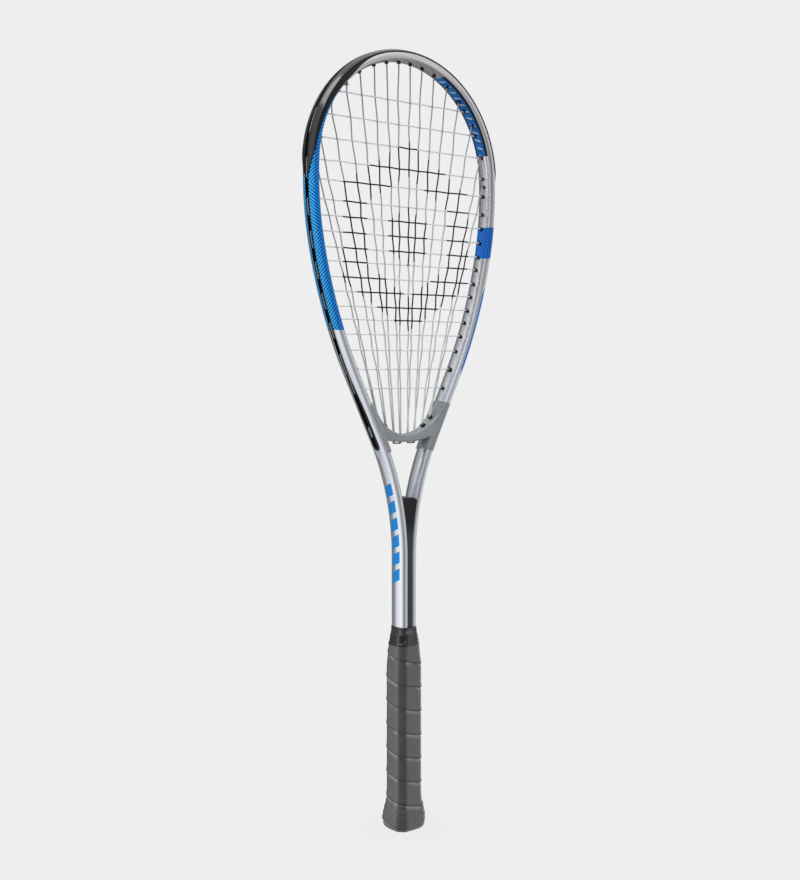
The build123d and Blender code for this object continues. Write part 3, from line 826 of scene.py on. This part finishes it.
class Finish(Nodes):
    """A procedural material."""

    def __init__(self, name, **surface):
        self.material = bpy.data.materials.new(name)
        self.material.use_nodes = True
        super().__init__(self.material.node_tree)
        self.shader = self.tree.nodes["Principled BSDF"]
        for key, value in surface.items():
            self.set(key.replace("_", " "), value)

    def set(self, name, value):
        self.plug(self.shader.inputs[name], value)

    def ease(self, value, low, high, start=0.0, end=1.0, kind="SMOOTHSTEP"):
        """`start` where the value is at most `low`, going smoothly to `end` at `high`."""
        node = self.node("MapRange", value, low, high, start, end)
        node.interpolation_type = kind
        return node.outputs[0]

    def ramp(self, value, low, high, start=0.0, end=1.0):
        """The same, in a straight line."""
        return self.ease(value, low, high, start, end, "LINEAR")

    def mix(self, factor, a, b):
        node = self.node("Mix")
        node.data_type = "RGBA"
        for name, value in (("Factor", factor), ("A", a), ("B", b)):
            socket = [s for s in node.inputs if s.name == name and s.enabled][0]
            self.plug(socket, value)
        return [s for s in node.outputs if s.enabled][0]

    def mark(self, name):
        node = self.node("Attribute")
        node.attribute_name = name
        return node.outputs["Fac"]

    def place(self):
        """Position in millimetres as a vector, and its x, y and z."""
        here = self.node("NewGeometry").outputs["Position"]
        here = self.vector("MULTIPLY", here, (1 / MM,) * 3)
        return here, *self.split(here)

    def noise(self, vector, size, detail=2.0):
        """Noise from 0 to 1 with grains of about `size` millimetres."""
        node = self.node("TexNoise", vector)
        node.inputs["Scale"].default_value = 1 / size
        node.inputs["Detail"].default_value = detail
        return node.outputs[0]

    def cells(self, vector, size):
        """Distance from the middle of random cells of about `size` millimetres."""
        node = self.node("TexVoronoi", vector)
        node.inputs["Scale"].default_value = 1 / size
        return node.outputs["Distance"]

    def relief(self, height, depth, strength):
        """Bump of `depth` millimetres from a height between 0 and 1."""
        node = self.node("Bump")
        node.inputs["Distance"].default_value = depth * MM
        node.inputs["Strength"].default_value = strength
        self.plug(node.inputs["Height"], height)
        self.set("Normal", node.outputs[0])


def blue_areas(p, x, y, z, around):
    """Where the frame is blue: in all, on the patch, on the inner band; and its black nose."""
    turned = p.above(p.times(x, y), 0.0)  # left front and right back
    straight = p.less(turned)
    point_edge = p.ramp(z, hatch_full_z, hatch_top_z, guard_reach, nose_end)
    panel = p.times(turned, p.between(z, hatch_bottom_z, hatch_top_z), p.below(around, nose_end),
                    p.above(around, p.times(p.above(z, hatch_full_z), point_edge)))
    strip = p.times(straight, p.between(z, hatch_bottom_z, guard_end_z),
                    p.below(around, strip_edge))
    swoosh = p.times(p.ease(z, *swoosh_foot_z), p.ease(z, *swoosh_head_z, *swoosh_edges))
    flank = p.times(straight, p.between(z, swoosh_foot_z[0], guard_end_z), p.above(x, 0.0),
                    p.below(around, swoosh))
    patch = p.times(p.either(p.times(straight, p.above(around, side_run)),
                             p.above(around, inner_side)),
                    p.between(z, patch_bottom_z, patch_top_z))
    inner = p.times(p.above(around, inner_side + 0.3), p.between(z, *inner_band_z),
                    p.above(p.math("ABSOLUTE", x), inner_band_x))
    black_edge = p.ease(z, hatch_top_z, black_top_z, nose_end, guard_reach)
    black_nose = p.times(turned, p.between(z, hatch_full_z, black_top_z), p.less(panel),
                         p.below(around, black_edge))
    return p.either(panel, strip, flank, patch, inner), patch, inner, black_nose


def hatching(p, z, along, around, patch, inner):
    """Slanted lines over the blue areas, with a painted highlight beside the channel, and plain on
    the inner band.
    """
    way = p.blend(p.times(p.between(z, *chevron_z), p.less(patch)), 1.0, -1.0)
    lines = p.below(p.share_of(p.add(p.times(0.75, around), p.times(along, way)), hatch_pitch),
                    hatch_line)
    # painted highlight: the blue is lighter and more cyan beside the channel
    blue_painted_highlight = p.mix(p.ease(around, 4.0, 11.0), srgb(40, 176, 238), srgb(10, 140, 224))
    hatch = p.mix(lines, blue_painted_highlight, srgb(0, 54, 132))
    deep_hatch = p.mix(lines, srgb(0, 62, 156), srgb(30, 124, 214))
    return p.mix(inner, p.mix(patch, hatch, deep_hatch), srgb(4, 92, 168))


def plain_blocks(p, y, along, inner):
    """Slanted pale and dark blocks on the inner band in place of lettering, the dark ones partly
    painted shade, and painted dark reflection along the band's edges.
    """
    step = p.share_of(p.add(along, p.times(0.5, y)), block_pitch)
    band = p.times(inner, p.below(p.math("ABSOLUTE", p.add(y, 0.8)), 2.7))
    pale = p.times(band, p.between(step, 0.12, 0.38))
    # the dark blocks stand partly for lettering and partly for painted shade; the band's edges get
    # a painted dark reflection
    dark = p.either(p.times(band, p.between(step, 0.38, 0.50)),
                    p.times(inner, p.above(p.math("ABSOLUTE", y), 5.2)))
    return pale, dark


def leg_bars(p, y, z, around):
    """A row of plain slanted bars up the outer side of each leg."""
    rise = p.math("SUBTRACT", p.add(z, p.times(0.45, y)), bar_bottom)
    return p.times(p.between(rise, 0.0, bar_count * bar_pitch), p.below(around, bar_edge),
                   p.below(p.share_of(rise, bar_pitch), bar_share))


def frame_paint():
    """Satin metallic silver with hatched blue panels, a black nose by the guard and blue bars, and
    some painted highlight, reflection and shade.
    """
    p = Finish("frame_satin_paint", Coat_Roughness=0.10)
    here, x, y, z = p.place()
    along, around = p.mark("along"), p.mark("around")
    blue, patch, inner, black_nose = blue_areas(p, x, y, z, around)
    pale_block, dark_block_and_shade = plain_blocks(p, y, along, inner)
    bars = leg_bars(p, y, z, around)

    flake, cloud = p.noise(here, 0.18, 1.0), p.noise(here, 14.0)
    silver = p.mix(flake, srgb(172, 177, 185), srgb(204, 208, 215))
    silver = p.mix(p.ease(z, *silver_warms_z), silver, srgb(184, 184, 188))
    # painted reflection: the inner face near the tip is tinted brown, standing in for the darker
    # reflection it shows there
    tip_inner_reflection = p.times(p.above(z, tip_reflection_z), p.above(around, inner_side))
    silver = p.mix(p.times(tip_inner_reflection, 0.75), silver, srgb(128, 118, 108))
    colour = p.mix(blue, silver, hatching(p, z, along, around, patch, inner))
    colour = p.mix(black_nose, colour, srgb(20, 20, 23))
    colour = p.mix(pale_block, colour, srgb(150, 184, 204))
    colour = p.mix(dark_block_and_shade, colour, srgb(10, 18, 30))
    p.set("Base Color", p.mix(bars, colour, srgb(0, 124, 204)))
    painted = p.either(blue, bars, black_nose)
    p.set("Metallic", p.blend(painted, 0.80, 0.12))
    p.set("Coat Weight", p.blend(painted, 0.50, 0.12))
    p.set("Specular IOR Level", p.blend(painted, 0.50, 0.15))
    p.set("Roughness", p.add(p.blend(painted, 0.22, 0.34), p.times(0.05, cloud)))
    p.relief(p.add(p.times(0.6, flake), p.times(0.6, painted)), 0.02, 0.25)
    return p.material


def moulded(name, colour, roughness, coat=0.25, shine=0.5):
    """Moulded plastic: an even colour with a faint cloud and a fine surface grain."""
    p = Finish(name, Coat_Weight=coat, Coat_Roughness=0.12, Specular_IOR_Level=shine)
    here, _, _, _ = p.place()
    cloud, fine = p.noise(here, 9.0, 3.0), p.noise(here, 0.35, 2.0)
    lighter = tuple(min(1.0, c * 1.28) for c in colour[:3]) + (1.0,)
    p.set("Base Color", p.mix(cloud, colour, lighter))
    p.set("Roughness", p.add(roughness - 0.05, p.times(0.1, cloud)))
    p.relief(fine, 0.02, 0.5)
    return p.material


def wedge_plastic():
    """Black gloss plastic, made a little greyer by a painted reflection in the strip between the
    legs.
    """
    p = Finish("wedge_black_plastic", Coat_Weight=0.04, Coat_Roughness=0.12,
               Specular_IOR_Level=0.15)
    here, _, _, z = p.place()
    cloud = p.noise(here, 9.0, 3.0)
    # painted reflection: the strip below these heights is a lighter grey
    strip = p.less(p.ease(z, *wedge_reflection_end_z))
    p.set("Base Color", p.mix(strip, p.mix(cloud, srgb(14, 14, 16), srgb(20, 20, 22)),
                              p.mix(cloud, srgb(46, 47, 50), srgb(58, 59, 62))))
    p.set("Roughness", p.add(0.24, p.times(0.1, cloud)))
    p.relief(p.noise(here, 0.4, 2.0), 0.02, 0.4)
    return p.material


def string_gut(name, low, high, fade):
    """Pale multifilament string, `fade` lighter at the throat, with painted shade where it lies in
    the channel and a plain inked stencil.
    """
    p = Finish(name, Coat_Roughness=0.12)
    here, x, _, z = p.place()
    rise = p.math("ABSOLUTE", p.math("SUBTRACT", z, stencil_z))
    across = p.math("ABSOLUTE", p.math("SUBTRACT", x, stencil_x))
    ragged = p.times(2.4, p.noise(here, 2.2, 2.0))
    slope = 2 / math.sqrt(3)
    hexagon = p.add(p.math("MAXIMUM", p.times(across, slope),
                           p.add(rise, p.times(across, slope / 2))), ragged)
    ink = p.either(p.between(hexagon, stencil_inner, stencil_outer),
                   p.below(hexagon, stencil_core))
    fibre = p.noise(p.vector("MULTIPLY", here, (1.0, 1.0, 0.25)), 0.35, 3.0)
    throat, tip = [p.mix(fibre, srgb(low + lift, low + lift + 4, low + lift + 5),
                         srgb(high + lift, high + lift + 2, high + lift + 2))
                   for lift in (fade, -fade)]
    pale = p.mix(p.ramp(z, *string_fade_z), throat, tip)
    # painted shade: the string is darker where it lies in the channel
    pale = p.mix(p.mark("held"), pale, srgb(120, 123, 125))
    p.set("Base Color", p.mix(ink, pale, srgb(8, 8, 10)))
    p.set("Roughness", p.add(p.blend(ink, 0.30, 0.60), p.times(0.15, fibre)))
    p.set("Specular IOR Level", p.blend(ink, 0.6, 0.15))
    p.set("Coat Weight", p.blend(ink, 0.35, 0.0))
    p.relief(fibre, 0.03, 0.35)
    return p.material


def grip_leather():
    """Smooth polyurethane wrap, with painted shade in the creases between its turns and on its
    bevels, and a painted highlight below each crease.
    """
    p = Finish("grip_polyurethane", Coat_Weight=0.22, Coat_Roughness=0.28)
    here, _, _, _ = p.place()
    turn = p.mark("turn")
    bevel = p.mark("bevel")
    # painted highlight: a patchy lighter streak just below each crease, kept off the bevels, where
    # it is also a little glossier
    patchy = p.ease(p.noise(here, 11.0, 1.0), 0.32, 0.56)
    painted_seam_highlight = p.times(p.ease(turn, 0.78, 0.94), p.below(turn, 0.965), patchy, p.less(bevel))
    # painted shade: the colour is darkened in and beside the crease between turns
    crease = p.either(p.ease(turn, 0.962, 0.975), p.less(p.ease(turn, 0.015, 0.05)))
    pores = p.cells(here, 0.55)
    folds = p.noise(p.vector("MULTIPLY", here, (1.0, 1.0, 3.2)), 5.0, 3.0)
    cloud = p.noise(here, 18.0)
    base = p.mix(cloud, srgb(70, 69, 72), srgb(90, 88, 90))
    # painted shade: the bevels are darkened
    base = p.mix(p.times(0.6, bevel), base, srgb(30, 30, 32))
    base = p.mix(p.times(0.50, painted_seam_highlight), base, srgb(158, 156, 154))
    p.set("Base Color", p.mix(p.times(0.85, crease), base, srgb(22, 22, 24)))
    p.set("Roughness", p.add(0.38, p.times(0.16, cloud), p.times(-0.10, painted_seam_highlight)))
    p.relief(p.add(p.times(0.25, pores), p.times(1.0, folds)), 0.32, 0.55)
    return p.material


def tape_vinyl():
    """Glossy black tape with soft folds, and a painted highlight that makes their raised parts
    lighter.
    """
    p = Finish("tape_vinyl", Coat_Weight=0.5, Coat_IOR=1.7, Coat_Roughness=0.10,
               Specular_IOR_Level=0.15)
    here, _, _, _ = p.place()
    folds = p.noise(p.vector("MULTIPLY", here, (1.0, 1.0, 2.0)), 3.2, 2.0)
    # painted highlight: lighter where the folds stand up
    p.set("Base Color", p.mix(folds, srgb(8, 9, 13), srgb(20, 22, 28)))
    p.set("Roughness", p.add(0.20, p.times(0.15, folds)))
    p.relief(folds, 0.35, 0.6)
    return p.material


def brushed_steel():
    """Bright wire, scratched along its length."""
    p = Finish("staple_wire", Metallic=1.0)
    here, _, _, _ = p.place()
    scratch = p.noise(p.vector("MULTIPLY", here, (0.2, 4.0, 4.0)), 0.6, 2.0)
    p.set("Base Color", p.mix(scratch, srgb(150, 150, 152), srgb(190, 190, 192)))
    p.set("Roughness", p.add(0.25, p.times(0.2, scratch)))
    return p.material


def end_badge():
    """A plain disc with a raised ring and a fine grain, no mark."""
    p = Finish("end_badge_disc", Coat_Weight=0.5, Coat_Roughness=0.1)
    here, x, y, _ = p.place()
    reach = p.math("SQRT", p.add(p.times(x, x), p.times(y, y)))
    ring = p.between(reach, 5.2, 6.4)
    grain = p.noise(here, 0.5)
    p.set("Base Color", p.mix(ring, srgb(38, 40, 44), srgb(24, 118, 208)))
    p.set("Roughness", p.add(0.3, p.times(0.1, grain)))
    p.relief(p.add(ring, p.times(0.1, grain)), 0.15, 0.5)
    return p.material


def dress(material, *names):
    """Give kept CAD nodes their material."""
    for name in names:
        for slot in nodes[name].material_slots:
            slot.material = material


# -------------------- camera, light and floor
def outward(azimuth, elevation):
    """Unit vector from the racket towards a place; azimuth 0 is the front, 90 the right."""
    a, e = math.radians(azimuth), math.radians(elevation)
    return Vector((math.sin(a) * math.cos(e), -math.cos(a) * math.cos(e), math.sin(e)))


def face(thing, aim, azimuth, elevation, distance):
    """Put a camera or a light round the point it aims at."""
    scene.collection.objects.link(thing)
    back = outward(azimuth, elevation)
    thing.location = aim + back * distance
    thing.rotation_mode = "QUATERNION"
    thing.rotation_quaternion = (-back).to_track_quat("-Z", "Y")


def make_camera():
    data = bpy.data.cameras.new("camera")
    camera = bpy.data.objects.new("camera", data)
    azimuth = math.radians(camera_azimuth)
    right = Vector((math.cos(azimuth), math.sin(azimuth), 0))
    middle = Vector((0, 0, total_length * MM / 2))
    aim = middle - right * aim_left + Vector((0, 0, aim_up))
    face(camera, aim, camera_azimuth, camera_elevation, camera_distance)
    data.lens = camera_lens
    data.clip_start, data.clip_end = 0.05, 60
    scene.camera = camera


def softbox(name, azimuth, elevation, distance, size, power):
    """A rectangular soft light aimed at the racket."""
    data = bpy.data.lights.new(name, "AREA")
    data.shape = "RECTANGLE"
    data.size, data.size_y = size
    data.energy = power
    light = bpy.data.objects.new(name, data)
    face(light, softbox_aim, azimuth, elevation, distance)


def make_world():
    """A pale backdrop for the camera, and upright soft panels with dark gaps for the rest."""
    world = bpy.data.worlds.new("studio")
    scene.world = world
    world.use_nodes = True
    n = Nodes(world.node_tree)
    way = n.node("TexCoord").outputs["Generated"]
    level = n.vector("NORMALIZE", n.vector("MULTIPLY", way, (1, 1, 0)))
    height = n.split(way)[2]
    flatness = n.less(n.times(height, height))
    above = n.math("MAXIMUM", height, 0.0)
    below = n.math("MAXIMUM", n.times(height, -1.0), 0.0)
    total = n.add(room_light, n.times(n.math("POWER", above, 2.0), room_top),
                  n.times(below, room_floor))
    for azimuth, tightness, gain in panels:
        facing = n.vector("DOT_PRODUCT", level, outward(azimuth, 0))
        lobe = n.math("POWER", n.math("MAXIMUM", facing, 0.0), tightness)
        total = n.add(total, n.times(lobe, flatness, gain))
    seen = n.node("LightPath").outputs["Is Camera Ray"]
    shade = n.tree.nodes["Background"]
    n.plug(shade.inputs["Color"], (1, 1, 1, 1))
    n.plug(shade.inputs["Strength"], n.blend(seen, total, backdrop))


def make_floor():
    """A wide pale floor that melts into the backdrop away from the racket."""
    mesh = bpy.data.meshes.new("floor")
    reach = 14.0
    corners = [(sx * reach, sy * reach, 0) for sx, sy in ((-1, -1), (1, -1), (1, 1), (-1, 1))]
    mesh.from_pydata(corners, [], [(0, 1, 2, 3)])
    floor = bpy.data.objects.new("floor", mesh)
    scene.collection.objects.link(floor)
    p = Finish("floor_pale", Roughness=1.0, Specular_IOR_Level=0.0)
    _, x, y, _ = p.place()
    away = p.math("SQRT", p.add(p.times(x, x), p.times(y, y)))
    near = p.less(p.ease(away, *contact_reach))
    p.set("Base Color", (0, 0, 0, 1))
    p.set("Emission Color", (1, 1, 1, 1))
    p.set("Emission Strength", p.blend(near, backdrop, backdrop * contact_shade))
    mesh.materials.append(p.material)
    floor.visible_glossy = False
    floor.visible_diffuse = False


# -------------------- build
dice = random.Random(7)
make_camera()
make_world()
make_floor()
softbox("key_top", -105, 66, 1.6, (1.0, 0.6), 12)
scene.view_settings.view_transform = "Standard"

make_tube(frame_paint())
make_guard(moulded("guard_gloss_plastic", srgb(12, 12, 14), 0.20, coat=0.5, shine=0.1))
make_string("main_string_woven", main_route(), string_gut("main_gut", 154, 188, 26),
            "main_string")
make_string("cross_string_woven", cross_route(), string_gut("cross_gut", 200, 232, 4),
            "cross_string")
make_grip(grip_leather())
make_tape(tape_vinyl())

dress(moulded("grommet_plastic", srgb(10, 10, 11), 0.42, coat=0.05, shine=0.15),
      "grommet_strip_left", "grommet_strip_right")
dress(moulded("bridge_grey_plastic", srgb(118, 124, 128), 0.24, coat=0.7), "throat_bridge")
dress(wedge_plastic(), "throat_wedge")
dress(moulded("handle_foam", srgb(60, 60, 60), 0.7), "handle_shell_front", "handle_shell_back")
dress(moulded("cap_rubber", srgb(30, 30, 32), 0.6), "butt_cap")
dress(brushed_steel(), "butt_cap_staples")
dress(end_badge(), "end_badge")
